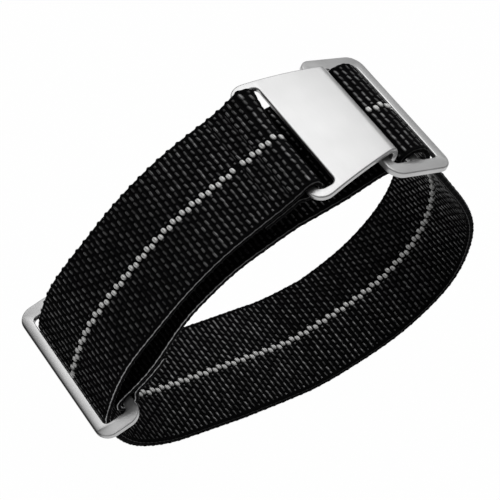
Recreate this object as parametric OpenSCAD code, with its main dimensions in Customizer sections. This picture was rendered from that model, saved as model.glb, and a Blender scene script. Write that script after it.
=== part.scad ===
// Elastic nylon watch strap, clasped into its loop.
// One length of webbing leaves the hook's bar over the top, goes down through the slider, along
// the flat seat, up the far side and through the ring, and back inside the loop to the slider.
// X runs along the seat, Y across the webbing, Z up. Millimetres and degrees.

/* [Webbing] */
// Width of the webbing
web_w = 20; // [18:0.5:22]
// Thickness of the webbing
web_t = 1.1; // [0.9:0.05:1.2]
// Space between two plies that are sewn together
ply_gap = 0.12; // [0.08:0.01:0.18]
// Width of the light centre stripe
stripe_w = 1.5; // [1:0.1:4]
// How deep the stripe's yarns lie in each face
stripe_depth = 0.3; // [0.2:0.05:0.4]

/* [Sewing] */
// Diameter of the sewing thread
thread_d = 0.36; // [0.24:0.04:0.48]
// Length of one stitch
stitch_len = 2.2; // [1.6:0.2:4]
// Webbing left outside the stitches at each edge
stitch_margin = 1; // [0.6:0.2:2]

/* [Slider] */
// Thickness of the slider's metal
slider_t = 1; // [0.8:0.05:1.05]
// Width of the bar that the webbing passes behind
slider_bar = 1.75; // [1.4:0.05:1.9]
// Width of the bar that the webbing is sewn round
slider_sewn_bar = 1.7; // [1.4:0.05:1.75]
// Width of each side rail
slider_rail = 2.2; // [1.6:0.1:3]
// Tilt of the slider in the loop
slider_tilt = 28; // [26:1:30]

/* [Catch ring] */
// Thickness of the ring's metal
ring_t = 1; // [0.8:0.05:1.05]
// Width of the two end bars
ring_bar = 1.8; // [1.5:0.05:1.9]
// Width of the middle bar that carries the webbing
ring_mid_bar = 1.6; // [1.3:0.05:1.7]
// Width of each side rail
ring_rail = 2.4; // [1.6:0.1:3]
// Length of each of the two windows
ring_window = 3.6; // [3.5:0.05:3.8]
// Tilt of the ring in the loop
ring_tilt = -10.2; // [-11.2:0.5:-9.2]

/* [Hook] */
// Thickness of the hook's sheet
hook_t = 0.95; // [0.8:0.05:1]
// Width of each rail beside the slot, at the bar
hook_rail = 2.15; // [1.8:0.05:3]
// How far the plate narrows on each side from its bar to the fold
hook_taper = 3.15; // [2.9:0.05:4]
// Length of the plate from its bar to the fold, along its curve
hook_len = 14; // [13.8:0.1:14.4]
// Radius of the plate's gentle curve
hook_curve_r = 56; // [50:1:62]
// Slope of the plate at its bar
hook_slope = 19.5; // [19:0.25:20]
// Width of the bar that the webbing is sewn round
hook_bar = 1.5; // [1.2:0.05:1.55]
// Length of the slot beside that bar, along the plate
hook_slot = 2.95; // [2.7:0.05:3.2]
// Corner radius of the plate at the bar
hook_corner_r = 3; // [1.5:0.25:3.5]
// Inner radius of the fold
fold_r = 0.7; // [0.6:0.05:0.8]
// Angle that the fold turns the sheet down through
fold_turn = 100; // [96:1:102]
// Straight length of the lip after the fold
lip_len = 1.3; // [0.9:0.05:1.4]

/* [Fits] */
// Radial play of a bar in the webbing sewn round it
bar_play = 0.1; // [0.06:0.01:0.14]
// How far the rounded bars stand back from the rails' faces and ends
bar_relief = 0.04; // [0.02:0.01:0.08]
// Space between the webbing's edge and the ring or the hook's slot
edge_clear = 0.6; // [0.4:0.05:1]
// Space between the webbing's edge and the slider's rail
slider_clear = 1.15; // [0.6:0.05:1.5]
// Space between the webbing and the end bar of the slider that it passes behind
slider_pass = 0.45; // [0.4:0.05:0.5]
// Room in the slider for the curve of the band that passes it
band_bow = 0.55; // [0.5:0.05:0.7]
// Space between the hook's lip and the ring's end bar that it holds
catch_gap = 0.43; // [0.35:0.02:0.55]
// Space between the hook's plate and that bar
catch_rise = 0.77; // [0.65:0.02:0.85]
// Space between the webbing and the ring's middle bar that it turns over
crest_gap = 0.5; // [0.35:0.05:0.6]
// Corner radius inside a window
window_r = 0.7; // [0.5:0.1:0.9]

/* [Loop] */
// Length of the closed loop of webbing
loop_len = 67.5; // [67:0.25:68]
// Length of the flat seat for the watch
seat_len = 21.5; // [20:0.5:22]
// Where each seam's two rows lie, from the bar along the webbing
seam_front = 3.3; // [3.2:0.1:3.6]
// Distance between the two rows of a seam
row_gap = 2.5; // [2.2:0.1:3]

/* [Hidden] */
$fn = 48;
eps = 0.01;

webbing_colour = [0.05, 0.05, 0.055];
stripe_colour = [0.82, 0.82, 0.8];
thread_colour = [0.09, 0.09, 0.095];
plate_colour = [0.86, 0.86, 0.85];
frame_colour = [0.72, 0.72, 0.71];

function turned(p, a) = [p[0] * cos(a) - p[1] * sin(a), p[0] * sin(a) + p[1] * cos(a)];
function from_place(at, a, u, w = 0) = at + turned([u, w], a);
function degrees_of(arc, r) = arc / r * 180 / PI;

// Typed places along the loop are for a loop 67.5 long, and are drawn at its own length.
loop_k = loop_len / 67.5;
function in_loop(x, z) = loop_k * [x, z];

// A knot of the webbing's middle line is [x, z, heading].
function knot(p, a) = [p[0], p[1], a];
function loop_knot(x, z, a) = knot(in_loop(x, z), a);
function spot(k) = [k[0], k[1]];
function ahead(k) = [cos(k[2]), sin(k[2])];
function left_of(k) = [-sin(k[2]), cos(k[2])];
function moved(k, s) = knot(spot(k) + s * ahead(k), k[2]);

// Radius of the webbing's inner face round each sewn bar, and of its middle.
hook_loop_r = hook_bar / 2 + bar_play;
hook_wrap_r = hook_loop_r + web_t / 2;
slider_loop_r = slider_sewn_bar / 2 + bar_play;
slider_wrap_r = slider_loop_r + web_t / 2;

// The hook: its plate curves down to the fold, and its bar is the strap's upper anchor.
hook_bar_at = in_loop(-4.04, 52.25);
hook_slot_w = web_w + 2 * edge_clear;
hook_w = hook_slot_w + 2 * hook_rail;
hook_fold_w = hook_w - 2 * hook_taper;
fold_slope = hook_slope - degrees_of(hook_len, hook_curve_r);
curve_at = hook_bar_at + hook_curve_r * [sin(hook_slope), -cos(hook_slope)];
fold_mid_r = fold_r + hook_t / 2;
fold_at = curve_at + (hook_curve_r - fold_mid_r) * [-sin(fold_slope), cos(fold_slope)];

// The catch ring hangs with its end bar inside the hook's fold.
ring_w = web_w + 2 * edge_clear + 2 * ring_rail;
ring_len = 2 * ring_bar + ring_mid_bar + 2 * ring_window;
ring_end_u = ring_len / 2 - ring_bar / 2;
caught_bar_at = fold_at + [fold_r - catch_gap - ring_bar / 2 * cos(ring_tilt),
                           fold_r - catch_rise - ring_t / 2];
ring_at = from_place(caught_bar_at, ring_tilt, ring_end_u);

// The slider: its opening takes the sewn loop, the band and a gap on each side of the band.
slider_w = web_w + 2 * slider_clear + 2 * slider_rail;
slider_pivot = in_loop(-27.22, 16.21);
band_run = web_t / cos(slider_tilt);
slider_window = slider_loop_r + web_t - slider_sewn_bar / 2 + band_run + 2 * slider_pass + band_bow;
slider_len = slider_window + slider_bar + slider_sewn_bar;
slider_at = from_place(slider_pivot, slider_tilt, slider_sewn_bar / 2 - slider_len / 2);
slider_window_u = (slider_bar - slider_sewn_bar) / 2;
band_u = slider_bar - slider_len / 2 + slider_pass + 0.36 * band_bow + band_run / 2;

// The sewn ends. At a lap the tail lies beside the running ply, on its inner side.
lap = web_t + ply_gap;
function tail_beside(k) = knot(spot(k) + lap * left_of(k), k[2] - 180);
hook_lap = [loop_knot(-7, 51.35, 221), loop_knot(-8.55, 50, 217), loop_knot(-11.3, 47.93, 217.5)];
slider_lap = [loop_knot(-26.72, 19.08, 231), loop_knot(-25.32, 20.95, 236),
              loop_knot(-23.48, 24.35, 247.5)];
hook_in_heading = 12;
hook_out_heading = 222;
slider_in_heading = 228;
slider_out_heading = 88;
function wrap_knot(centre, r, a) = knot(centre + r * [sin(a), -cos(a)], a);
hook_in = wrap_knot(hook_bar_at, hook_wrap_r, hook_in_heading);
hook_out = wrap_knot(hook_bar_at, hook_wrap_r, hook_out_heading);
slider_in = wrap_knot(slider_pivot, slider_wrap_r, slider_in_heading);
slider_out = wrap_knot(slider_pivot, slider_wrap_r, slider_out_heading);

// The band passes the slider, and lies flat on the seat.
band_pass = knot(from_place([slider_at[0], slider_at[1]], slider_tilt, band_u), 270);
seat_start = knot([-seat_len / 2, web_t / 2], 0);
seat_end = knot([seat_len / 2, web_t / 2], 0);

// The band comes up under the ring's far bar, turns over its middle bar and dips under the lip.
// Each knot is set from a face or an edge of the ring, by a distance along it and one off it.
function by_ring(from, off, a) = knot(from_place(ring_at, ring_tilt, from[0] + loop_k * off[0],
                                                 from[1] + loop_k * off[1]), a);
ring_near_u = ring_mid_bar / 2;
ring_stack = (ring_t + web_t) / 2;
ring_under = by_ring([ring_end_u, -ring_stack], [-0.6, -0.7], 132);
ring_rise = by_ring([ring_near_u + 0.62 * ring_window, 0], [0, 0.3], 118);
ring_crest = by_ring([0, ring_stack + crest_gap], [0.37, 0], 175);
ring_dip = by_ring([-ring_near_u, 0], [-1.05, -0.3], 265);
lip_under = by_ring([-ring_near_u, -ring_stack], [-2.4, -0.6], 201);
ring_leave = by_ring([-ring_near_u, -ring_stack], [-4.6, -1.65], 205);

// One cubic span between two knots, in short steps where it turns most.
span_turn = 6;
span_step = 3;
span_reach = 0.36;
function span_point(a, b, d, t) =
    pow(1 - t, 3) * spot(a) + 3 * t * pow(1 - t, 2) * (spot(a) + d * ahead(a))
    + 3 * t * t * (1 - t) * (spot(b) - d * ahead(b)) + pow(t, 3) * spot(b);
function span(a, b) =
    let (chord = norm(spot(b) - spot(a)),
         n = ceil(max(3, chord / span_step, abs(b[2] - a[2]) / span_turn)))
    [for (i = [0:n - 1]) span_point(a, b, chord * span_reach, i / n)];
function spans(k) = [for (i = [0:len(k) - 2]) each span(k[i], k[i + 1])];

// A wrap is an arc of the middle line round a bar, between two headings.
wrap_steps = 20;
function wrap(centre, r, from, to) =
    [for (i = [0:wrap_steps - 1])
        let (a = from + (to - from) * i / wrap_steps)
        centre + r * [sin(a), -cos(a)]];

route = concat(
    spans([tail_beside(hook_lap[2]), tail_beside(hook_lap[1]), tail_beside(hook_lap[0]), hook_in]),
    wrap(hook_bar_at, hook_wrap_r, hook_in_heading, hook_out_heading),
    spans([hook_out, hook_lap[0], hook_lap[1], hook_lap[2], loop_knot(-18.25, 42, 228),
           loop_knot(-25.45, 31.6, 241), loop_knot(-29.35, 23.4, 256), band_pass]),
    spans([band_pass, loop_knot(-28.1, 9.35, 309), loop_knot(-21.4, 3.4, 334),
           knot(spot(seat_start), 360)]),
    [spot(seat_start)],
    spans([seat_end, loop_knot(21.35, 3.9, 24), loop_knot(32.35, 11.9, 53),
           loop_knot(36.15, 22.2, 89), loop_knot(31.95, 35.3, 126), loop_knot(24.3, 44.05, 132),
           ring_under, ring_rise, ring_crest, ring_dip, lip_under, ring_leave,
           loop_knot(0.75, 47.2, 206), loop_knot(-11.75, 41, 213), loop_knot(-18.75, 34.2, 231),
           slider_lap[2], slider_lap[1], slider_lap[0], slider_in]),
    wrap(slider_pivot, slider_wrap_r, slider_in_heading, slider_out_heading + 360),
    spans([slider_out, tail_beside(slider_lap[0]), tail_beside(slider_lap[1]),
           tail_beside(slider_lap[2])]),
    [spot(tail_beside(slider_lap[2]))]);

function route_normal(i) =
    let (d = route[min(i + 1, len(route) - 1)] - route[max(i - 1, 0)])
    [-d[1], d[0]] / norm(d);
function route_beside(off) = [for (i = [0:len(route) - 1]) route[i] + off * route_normal(i)];
function reversed(list) = [for (i = [len(list) - 1:-1:0]) list[i]];
function ribbon(low, high) = concat(route_beside(low), reversed(route_beside(high)));

// Turns a drawing in the loop's plane, x and z, into a slab centred on the webbing.
module across(width) {
    rotate([90, 0, 0]) linear_extrude(width, center = true) children();
}

module place(at, tilt) {
    translate([at[0], 0, at[1]]) rotate([0, -tilt, 0]) children();
}

module stripe_inlay() {
    across(stripe_w) {
        polygon(ribbon(web_t / 2 - stripe_depth, web_t / 2));
        polygon(ribbon(-web_t / 2, stripe_depth - web_t / 2));
    }
}

module webbing() {
    color(webbing_colour)
        difference() {
            across(web_w) polygon(ribbon(-web_t / 2, web_t / 2));
            stripe_inlay();
        }
}

module centre_stripe() {
    color(stripe_colour) stripe_inlay();
}

// A bar across the loop with fully rounded edges.
module round_bar(width, thick, length) {
    across(length) {
        square([width - thick, thick], center = true);
        for (side = [-1, 1]) translate([side * (width - thick) / 2, 0]) circle(d = thick);
    }
}

module rounded_rect(length, width, r) {
    square([length - 2 * r, width], center = true);
    square([length, width - 2 * r], center = true);
    for (sx = [-1, 1], sy = [-1, 1])
        translate([sx * (length / 2 - r), sy * (width / 2 - r)]) circle(r);
}

// Two flat rails with rounded ends, joined by rounded bars.
// Each bar and each window is [place along the frame, length along it].
module rail_frame(length, width, rail, thick, corner_r, bars, windows) {
    inner = width - 2 * rail;
    straight = inner - 2 * window_r;
    linear_extrude(thick, center = true)
        difference() {
            rounded_rect(length, width, corner_r);
            for (w = windows) translate([w[0], 0]) rounded_rect(w[1], inner, window_r);
            square([length + 1, straight], center = true);
        }
    for (b = bars) translate([b[0], 0, 0])
        round_bar(b[1] - 2 * bar_relief, thick - 2 * bar_relief, straight + window_r);
}

frame_corner_r = 2.4;

module slider() {
    color(frame_colour)
        place(slider_at, slider_tilt)
            rail_frame(slider_len, slider_w, slider_rail, slider_t, frame_corner_r,
                       [[(slider_bar - slider_len) / 2, slider_bar],
                        [(slider_len - slider_sewn_bar) / 2, slider_sewn_bar]],
                       [[slider_window_u, slider_window]]);
}

module catch_ring() {
    window_u = (ring_mid_bar + ring_window) / 2;
    color(frame_colour)
        place(ring_at, ring_tilt)
            rail_frame(ring_len, ring_w, ring_rail, ring_t, frame_corner_r,
                       [[-ring_end_u, ring_bar], [0, ring_mid_bar], [ring_end_u, ring_bar]],
                       [[-window_u, ring_window], [window_u, ring_window]]);
}

// Outline of the hook seen from above, with its two corners at the bar rounded.
module hook_outline() {
    left = -hook_bar / 2;
    lean = atan(hook_taper / (hook_len - left));
    nose = hook_len + 4 * fold_mid_r;
    nose_y = hook_fold_w / 2;
    corner_x = left + hook_corner_r;
    corner_y = hook_w / 2 - hook_corner_r * tan(lean) - hook_corner_r / cos(lean);
    steps = 10;
    corner = [for (i = [0:steps])
        let (a = 180 - (90 - lean) * i / steps)
        [corner_x + hook_corner_r * cos(a), corner_y + hook_corner_r * sin(a)]];
    side = concat(corner, [[hook_len, nose_y], [nose, nose_y]]);
    polygon(concat(side, reversed([for (p = side) [p[0], -p[1]]])));
}

// A sheet bent about an axis across the loop: a sector of a tube wall.
module bent_sheet(centre, r, from, to) {
    translate([centre[0], 0, centre[1]]) rotate([90, 0, 0]) rotate([0, 0, from])
        rotate_extrude(angle = to - from)
            translate([r - hook_t / 2, -hook_w / 2]) square([hook_t, hook_w]);
}

// The short blocks inside the sheet join the plate, the fold and the lip where they meet.
module hook() {
    spare = hook_bar;
    splice_len = fold_r / 4;
    fold_from = 90 + fold_slope - fold_turn;
    plate_end = fold_at + fold_mid_r * [-sin(fold_slope), cos(fold_slope)];
    lip_at = fold_at + fold_mid_r * [cos(fold_from), sin(fold_from)];
    slot_from = -hook_bar / 2 - 2 * spare;
    slot_to = hook_bar / 2 + hook_slot;
    color(plate_colour)
        intersection() {
            union() {
                difference() {
                    bent_sheet(curve_at, hook_curve_r, 90 + fold_slope,
                               90 + hook_slope + degrees_of(hook_bar / 2 + spare, hook_curve_r),
                               $fn = 48);
                    place(hook_bar_at, hook_slope)
                        translate([(slot_from + slot_to) / 2, 0, 0])
                            linear_extrude(4 * hook_t, center = true)
                                rounded_rect(slot_to - slot_from, hook_slot_w, 1);
                }
                bent_sheet(fold_at, fold_mid_r, fold_from, 90 + fold_slope);
                place(lip_at, fold_slope - fold_turn)
                    translate([0, -hook_w / 2, -hook_t / 2]) cube([lip_len, hook_w, hook_t]);
                for (meet = [[plate_end, fold_slope], [lip_at, fold_slope - fold_turn]])
                    place(meet[0], meet[1])
                        cube([splice_len, hook_w, hook_t - 2 * bar_relief], center = true);
                place(hook_bar_at, hook_slope)
                    round_bar(hook_bar - 2 * bar_relief, hook_t - 2 * bar_relief,
                              hook_slot_w + hook_rail);
            }
            place(hook_bar_at, (hook_slope + fold_slope) / 2)
                linear_extrude(hook_len, center = true) hook_outline();
        }
}

// A row of lockstitch through both plies of a lap. The knot lies on the running ply.
module seam(k) {
    count = floor((web_w - 2 * stitch_margin) / stitch_len);
    outside = web_t / 2 + thread_d / 4;
    inside = outside + lap;
    color(thread_colour)
        place(spot(k), k[2] + 180) {
            for (height = [outside, -inside])
                translate([0, 0, height]) rotate([90, 0, 0])
                    cylinder(d = thread_d, h = count * stitch_len + thread_d, center = true, $fn = 16);
            for (i = [0:count])
                translate([0, (i - count / 2) * stitch_len, -inside])
                    cylinder(d = thread_d, h = inside + outside, $fn = 16);
        }
}

// Each row is set from its bar, by the knot of the lap that lies nearest.
function row_at(laps, i, bar_at, far, dir) =
    moved(laps[i], dir * (far - norm(spot(laps[i]) - bar_at)));

module hook_seam_front() { seam(row_at(hook_lap, 0, hook_bar_at, seam_front, 1)); }
module hook_seam_rear() { seam(row_at(hook_lap, 1, hook_bar_at, seam_front + row_gap, 1)); }
module slider_seam_front() { seam(row_at(slider_lap, 0, slider_pivot, seam_front, -1)); }
module slider_seam_rear() { seam(row_at(slider_lap, 1, slider_pivot, seam_front + row_gap, -1)); }

webbing();
centre_stripe();
hook();
catch_ring();
slider();
hook_seam_front();
hook_seam_rear();
slider_seam_front();
slider_seam_rear();
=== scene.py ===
"""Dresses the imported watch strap: woven webbing, light stripe, stitching and satin metal parts."""
import math

import bpy
import numpy as np
from mathutils import Matrix, Vector


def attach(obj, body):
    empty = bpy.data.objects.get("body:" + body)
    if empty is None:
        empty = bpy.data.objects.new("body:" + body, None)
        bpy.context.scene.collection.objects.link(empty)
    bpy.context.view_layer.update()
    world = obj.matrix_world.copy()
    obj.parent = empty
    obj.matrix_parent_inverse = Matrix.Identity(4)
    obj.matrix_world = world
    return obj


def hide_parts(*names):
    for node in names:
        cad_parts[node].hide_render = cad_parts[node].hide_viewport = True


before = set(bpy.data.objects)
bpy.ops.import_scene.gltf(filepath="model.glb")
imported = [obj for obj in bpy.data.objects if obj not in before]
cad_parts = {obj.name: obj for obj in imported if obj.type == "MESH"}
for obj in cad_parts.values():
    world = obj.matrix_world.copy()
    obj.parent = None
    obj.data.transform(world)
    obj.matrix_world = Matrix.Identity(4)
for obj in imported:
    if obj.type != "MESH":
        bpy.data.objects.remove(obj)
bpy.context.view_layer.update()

MM = 0.001

# Sizes of the strap, in millimetres, as the solids have them.
WEB_W = 20.0
WEB_T = 1.1
PLY_GAP = 0.12
RIB_PITCH = 0.934
DASH_PITCH = 1.25
SEAT_LEN = 21.5
SEAM_FRONT = 3.3
ROW_GAP = 2.5
STITCH_LEN = 2.2
STITCH_MARGIN = 1.0
THREAD_D = 0.36

HOOK_BAR_AT = (-4.04, 52.25)
HOOK_BAR = 1.5
HOOK_T = 0.95
HOOK_SLOT = 2.95
HOOK_SLOT_W = 21.2
HOOK_W = 25.5
HOOK_FOLD_W = 19.2
HOOK_SLOT_R = 1.0
HOOK_CORNER_R = 3.0
HOOK_LEN = 14.0
HOOK_CURVE_R = 56.0
HOOK_SLOPE = 19.5
FOLD_R = 0.7
FOLD_TURN = 100.0
LIP_LEN = 1.3

RING_T = 1.0
RING_BAR = 1.8
RING_MID_BAR = 1.6
RING_WINDOW = 3.6
RING_INNER_W = 21.2
RING_RAIL = 2.4
RING_TILT = -10.2
CATCH_GAP = 0.43
CATCH_RISE = 0.77

SLIDER_T = 1.0
SLIDER_BAR = 1.75
SLIDER_SEWN_BAR = 1.7
SLIDER_RAIL = 2.2
SLIDER_INNER_W = 22.3
SLIDER_TILT = 28.0
SLIDER_PIVOT = (-27.22, 16.21)
SLIDER_PASS = 0.45
BAND_BOW = 0.55
BAND_SHIFT = 0.2

BAR_PLAY = 0.1
WINDOW_R = 0.7
FRAME_CORNER_R = 2.4

# How far each metal part's edges are softened.
HOOK_EDGE = 0.28
RING_EDGE = 0.24
SLIDER_EDGE = 0.2


# Places in the plane of the loop are pairs of x and z. A knot is a place and a heading, in degrees.
def turned(p, degrees):
    """A place turned round the origin."""
    a = math.radians(degrees)
    return (p[0] * math.cos(a) - p[1] * math.sin(a), p[0] * math.sin(a) + p[1] * math.cos(a))


def from_place(at, tilt, u, w=0.0):
    """The place u along and w above another, on a line that is tilted by so many degrees."""
    x, z = turned((u, w), tilt)
    return (at[0] + x, at[1] + z)


def knot(p, heading):
    """A knot of the webbing's middle line."""
    return (p[0], p[1], heading)


def on_wrap(centre, r, heading):
    """The knot on an arc round a bar where the line has this heading."""
    a = math.radians(heading)
    return knot((centre[0] + r * math.sin(a), centre[1] - r * math.cos(a)), heading)


def tail_beside(k):
    """The knot of the sewn tail that lies beside a knot of the band."""
    off = turned((0, WEB_T + PLY_GAP), k[2])
    return knot((k[0] + off[0], k[1] + off[1]), k[2] - 180)


# The hook's curve, the ring and the slider take their places from each other.
FOLD_SLOPE = HOOK_SLOPE - math.degrees(HOOK_LEN / HOOK_CURVE_R)
CURVE_AT = from_place(HOOK_BAR_AT, HOOK_SLOPE, 0, -HOOK_CURVE_R)
FOLD_MID_R = FOLD_R + HOOK_T / 2
FOLD_AT = from_place(CURVE_AT, FOLD_SLOPE, 0, HOOK_CURVE_R - FOLD_MID_R)

RING_LEN = 2 * RING_BAR + RING_MID_BAR + 2 * RING_WINDOW
RING_END_U = (RING_LEN - RING_BAR) / 2
RING_W = RING_INNER_W + 2 * RING_RAIL
CAUGHT_BAR_AT = (FOLD_AT[0] + FOLD_R - CATCH_GAP - RING_BAR / 2 * math.cos(math.radians(RING_TILT)),
                 FOLD_AT[1] + FOLD_R - CATCH_RISE - RING_T / 2)
RING_AT = from_place(CAUGHT_BAR_AT, RING_TILT, RING_END_U)

HOOK_WRAP_R = HOOK_BAR / 2 + BAR_PLAY + WEB_T / 2
SLIDER_WRAP_R = SLIDER_SEWN_BAR / 2 + BAR_PLAY + WEB_T / 2
BAND_RUN = WEB_T / math.cos(math.radians(SLIDER_TILT))
SLIDER_WINDOW = BAR_PLAY + WEB_T + BAND_RUN + 2 * SLIDER_PASS + BAND_BOW
SLIDER_LEN = SLIDER_WINDOW + SLIDER_BAR + SLIDER_SEWN_BAR
SLIDER_W = SLIDER_INNER_W + 2 * SLIDER_RAIL
SLIDER_AT = from_place(SLIDER_PIVOT, SLIDER_TILT, (SLIDER_SEWN_BAR - SLIDER_LEN) / 2)
BAND_U = SLIDER_BAR - SLIDER_LEN / 2 + SLIDER_PASS + BAND_SHIFT + BAND_RUN / 2


def by_ring(u, w, heading):
    """A knot given by its place from the ring's middle."""
    return knot(from_place(RING_AT, RING_TILT, u, w), heading)


# The webbing's middle line: knots (x, z, heading), joined by cubic spans and by arcs round bars,
# whose limits are headings too.
HOOK_WRAP = (12, 222)
SLIDER_WRAP = (228, 448)
ROUTE_STEP = 0.1
HOOK_LAP = [(-7, 51.35, 221), (-8.55, 50, 217), (-11.3, 47.93, 217.5)]
SLIDER_LAP = [(-26.72, 19.08, 231), (-25.32, 20.95, 236), (-23.48, 24.35, 247.5)]
BAND_PASS = knot(from_place(SLIDER_AT, SLIDER_TILT, BAND_U), 270)
RING_NEAR = RING_MID_BAR / 2
UNDER = -(RING_T + WEB_T) / 2
OUTER_KNOTS = [on_wrap(HOOK_BAR_AT, HOOK_WRAP_R, HOOK_WRAP[1]), *HOOK_LAP, (-18.25, 42, 228),
               (-25.45, 31.6, 241), (-29.35, 23.4, 256), BAND_PASS, (-28.1, 9.35, 309),
               (-21.4, 3.4, 334), (-SEAT_LEN / 2, WEB_T / 2, 360)]
INNER_KNOTS = [(SEAT_LEN / 2, WEB_T / 2, 0), (21.35, 3.9, 24), (32.35, 11.9, 53),
               (36.15, 22.2, 89), (31.95, 35.3, 126), (24.3, 44.05, 132),
               by_ring(RING_END_U - 0.6, UNDER - 0.7, 132),
               by_ring(RING_NEAR + 0.62 * RING_WINDOW, 0.3, 118),
               by_ring(0.37, 0.5 - UNDER, 175), by_ring(-RING_NEAR - 1.05, -0.3, 265),
               by_ring(-RING_NEAR - 2.4, UNDER - 0.6, 201),
               by_ring(-RING_NEAR - 4.6, UNDER - 1.65, 205), (0.75, 47.2, 206),
               (-11.75, 41, 213), (-18.75, 34.2, 231), *SLIDER_LAP[::-1],
               on_wrap(SLIDER_PIVOT, SLIDER_WRAP_R, SLIDER_WRAP[0])]


def span(a, b, steps=40, reach=0.36):
    """Points of a cubic curve between two knots, without the last one."""
    a, b = np.array(a, float), np.array(b, float)
    d = np.linalg.norm(b[:2] - a[:2]) * reach
    ahead = [np.array((math.cos(math.radians(k[2])), math.sin(math.radians(k[2])))) for k in (a, b)]
    t = (np.arange(steps) / steps)[:, None]
    return ((1 - t) ** 3 * a[:2] + 3 * t * (1 - t) ** 2 * (a[:2] + d * ahead[0])
            + 3 * t * t * (1 - t) * (b[:2] - d * ahead[1]) + t ** 3 * b[:2])


def spans(knots):
    """Curves through a row of knots."""
    return [span(a, b) for a, b in zip(knots, knots[1:])]


def wrap(centre, r, start, end, steps=60):
    """Points of the arc round a bar between two headings, as a list of one leg."""
    a = np.radians(np.linspace(start, end, steps, endpoint=False))
    return [np.stack([centre[0] + r * np.sin(a), centre[1] - r * np.cos(a)], axis=1)]


def webbing_route():
    """Points of the middle line, evenly spaced, with the unit vector to the left at each."""
    tail_out = [tail_beside(k) for k in HOOK_LAP[::-1]]
    tail_in = [tail_beside(k) for k in SLIDER_LAP]
    legs = (spans(tail_out + [on_wrap(HOOK_BAR_AT, HOOK_WRAP_R, HOOK_WRAP[0])])
            + wrap(HOOK_BAR_AT, HOOK_WRAP_R, *HOOK_WRAP) + spans(OUTER_KNOTS)
            + [np.array([[-SEAT_LEN / 2, WEB_T / 2]])] + spans(INNER_KNOTS)
            + wrap(SLIDER_PIVOT, SLIDER_WRAP_R, *SLIDER_WRAP)
            + spans([on_wrap(SLIDER_PIVOT, SLIDER_WRAP_R, SLIDER_WRAP[1] - 360)] + tail_in)
            + [np.array([tail_in[-1][:2]])])
    raw = np.concatenate(legs)
    run = np.concatenate([[0], np.cumsum(np.linalg.norm(np.diff(raw, axis=0), axis=1))])
    even = np.linspace(0, run[-1], int(run[-1] / ROUTE_STEP))
    points = np.stack([np.interp(even, run, raw[:, i]) for i in (0, 1)], axis=1)
    ahead = np.gradient(points, axis=0)
    ahead /= np.linalg.norm(ahead, axis=1)[:, None]
    return even, points, np.stack([-ahead[:, 1], ahead[:, 0]], axis=1)


RUN, POINTS, LEFT = webbing_route()
RIBS = int(round(RUN[-1] / RIB_PITCH))
RIB = RUN[-1] / RIBS


def at_run(s):
    """The points of the middle line at some runs, and the unit vectors to the left of it there."""
    point = np.stack([np.interp(s, RUN, POINTS[:, i]) for i in (0, 1)], axis=-1)
    left = np.stack([np.interp(s, RUN, LEFT[:, i]) for i in (0, 1)], axis=-1)
    return point, left / np.linalg.norm(left, axis=-1)[..., None]


def groove_at(centre, distance, low, high):
    """The groove between two ribs that is nearest to a distance from a bar, between two runs."""
    part = (RUN > low) & (RUN < high)
    gap = np.abs(np.linalg.norm(POINTS[part] - np.array(centre), axis=1) - distance)
    return round(RUN[part][np.argmin(gap)] / RIB) * RIB


# Each seam's rows lie in grooves of the ply that carries on from its loop, past the loop itself.
LOOP_END = 14.0
LAP_END = 26.0
SEAM_ROWS = (SEAM_FRONT, SEAM_FRONT + ROW_GAP)
HOOK_SEAM_RUNS = [groove_at(HOOK_BAR_AT, d, LOOP_END, LAP_END) for d in SEAM_ROWS]
SLIDER_SEAM_RUNS = [groove_at(SLIDER_PIVOT, d, RUN[-1] - LAP_END, RUN[-1] - LOOP_END)
                    for d in SEAM_ROWS]


# Materials.
def paint(code):
    """An sRGB hex colour as linear values."""
    parts = [int(code[i:i + 2], 16) / 255 for i in (1, 3, 5)]
    return (*[c / 12.92 if c <= 0.04045 else ((c + 0.055) / 1.055) ** 2.4 for c in parts], 1.0)


def add_node(tree, kind, links=(), **settings):
    """Adds a node. Settings named in_X set the socket X; links are (socket, from socket)."""
    node = tree.nodes.new(kind)
    for name, value in settings.items():
        if name.startswith("in_"):
            key = name[3:]
            node.inputs[int(key) if key.isdigit() else key.replace("_", " ")].default_value = value
        else:
            setattr(node, name, value)
    for socket, source in links:
        tree.links.new(source, node.inputs[socket])
    return node


def new_material(name):
    """A material with its shader and its output."""
    material = bpy.data.materials.new(name)
    material.use_nodes = True
    tree = material.node_tree
    tree.nodes.clear()
    shader = add_node(tree, "ShaderNodeBsdfPrincipled")
    add_node(tree, "ShaderNodeOutputMaterial", [("Surface", shader.outputs[0])])
    return material, tree, shader


# A bundle of fibres, across and along it, which stands for single fibres of 0.02 mm that are too
# fine to show, and the size of the patches over which the painted highlight on the crowns is stronger
# or weaker, all in millimetres.
FIBRE_ACROSS = 0.12
FIBRE_ALONG = 0.9
SHEEN_PATCH = 2.2
FIBRE_BUMP = 0.05

# The crown's value from which the highlight line painted along the edges shows, the one where it is
# lightest, and how glossy the floats' crowns are.
LINE_SHOWS = 1.05
LINE_LIGHTEST = 1.4
CROWN_GLOSS = 0.84


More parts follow.
